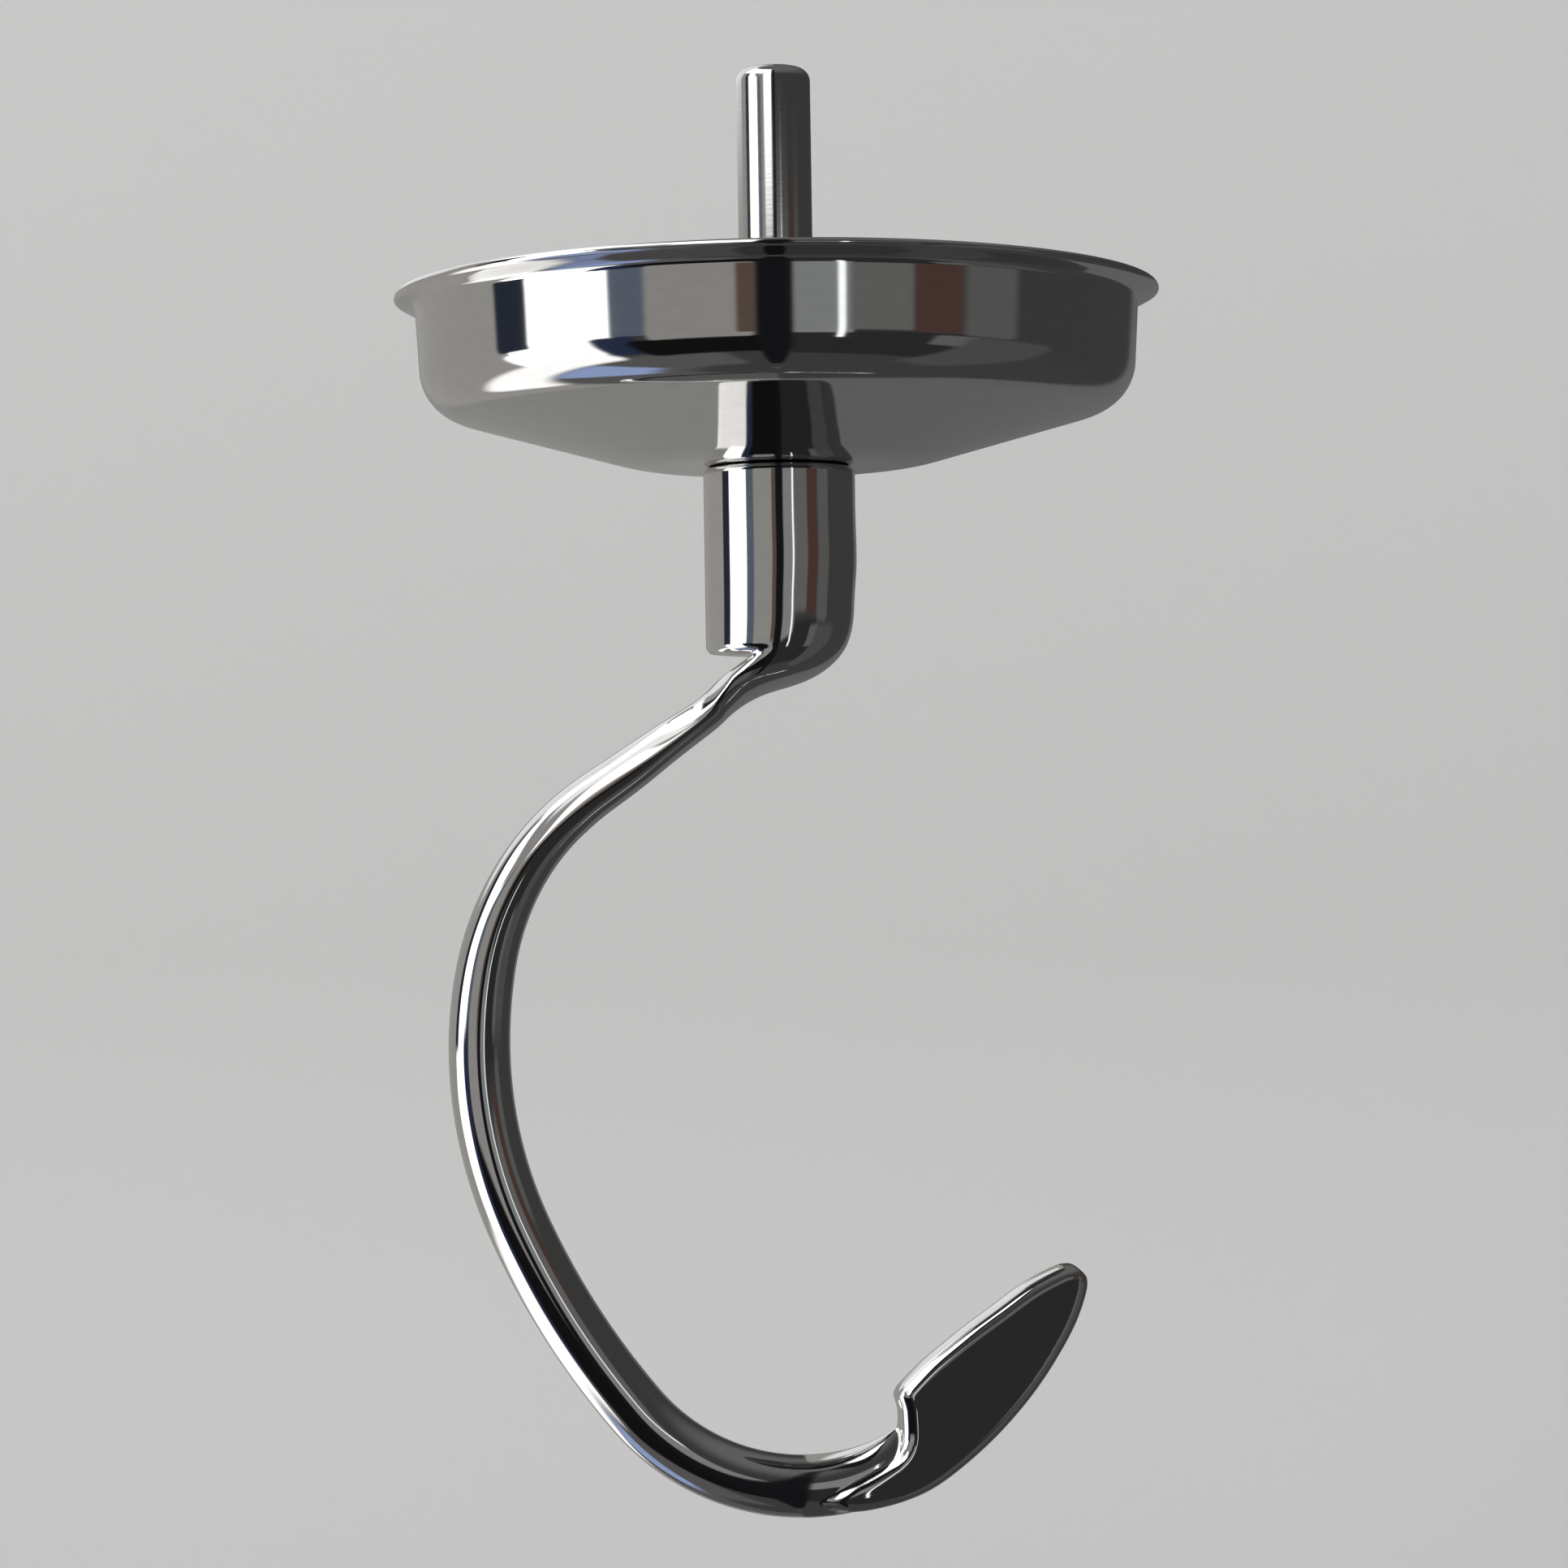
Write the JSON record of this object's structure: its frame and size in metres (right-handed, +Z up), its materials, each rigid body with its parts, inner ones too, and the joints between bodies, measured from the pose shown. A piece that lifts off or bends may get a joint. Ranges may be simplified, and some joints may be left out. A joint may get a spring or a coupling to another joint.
{
  "type": "stand mixer dough hook",
  "caption": "Polished hook that kneads dough, under a bowl-shaped splash shield, with a round drive shaft that goes up into a stand mixer.",
  "frame": {"origin": "on the drive shaft's axis, halfway up the plain stretch that goes into the mixer", "axes": "+Z up along the drive shaft, towards the mixer; the hook lies in the X-Z plane, opens towards +X, and is seen from -Y in the picture"},
  "size_m": [0.098, 0.098, 0.1862],
  "materials": {
    "polished_steel": "mirror-polished stainless steel",
    "pressed_steel": "polished pressed stainless sheet",
    "washer_steel": "turned stainless steel",
    "shaft_steel": "finely turned stainless bar"
  },
  "bodies": {
    "root": {"hook_body": "polished_steel", "shield_dish": "pressed_steel", "clamp_washer": "washer_steel", "drive_shaft": "shaft_steel", "drive_pin": "shaft_steel"}
  },
  "joints": []
}
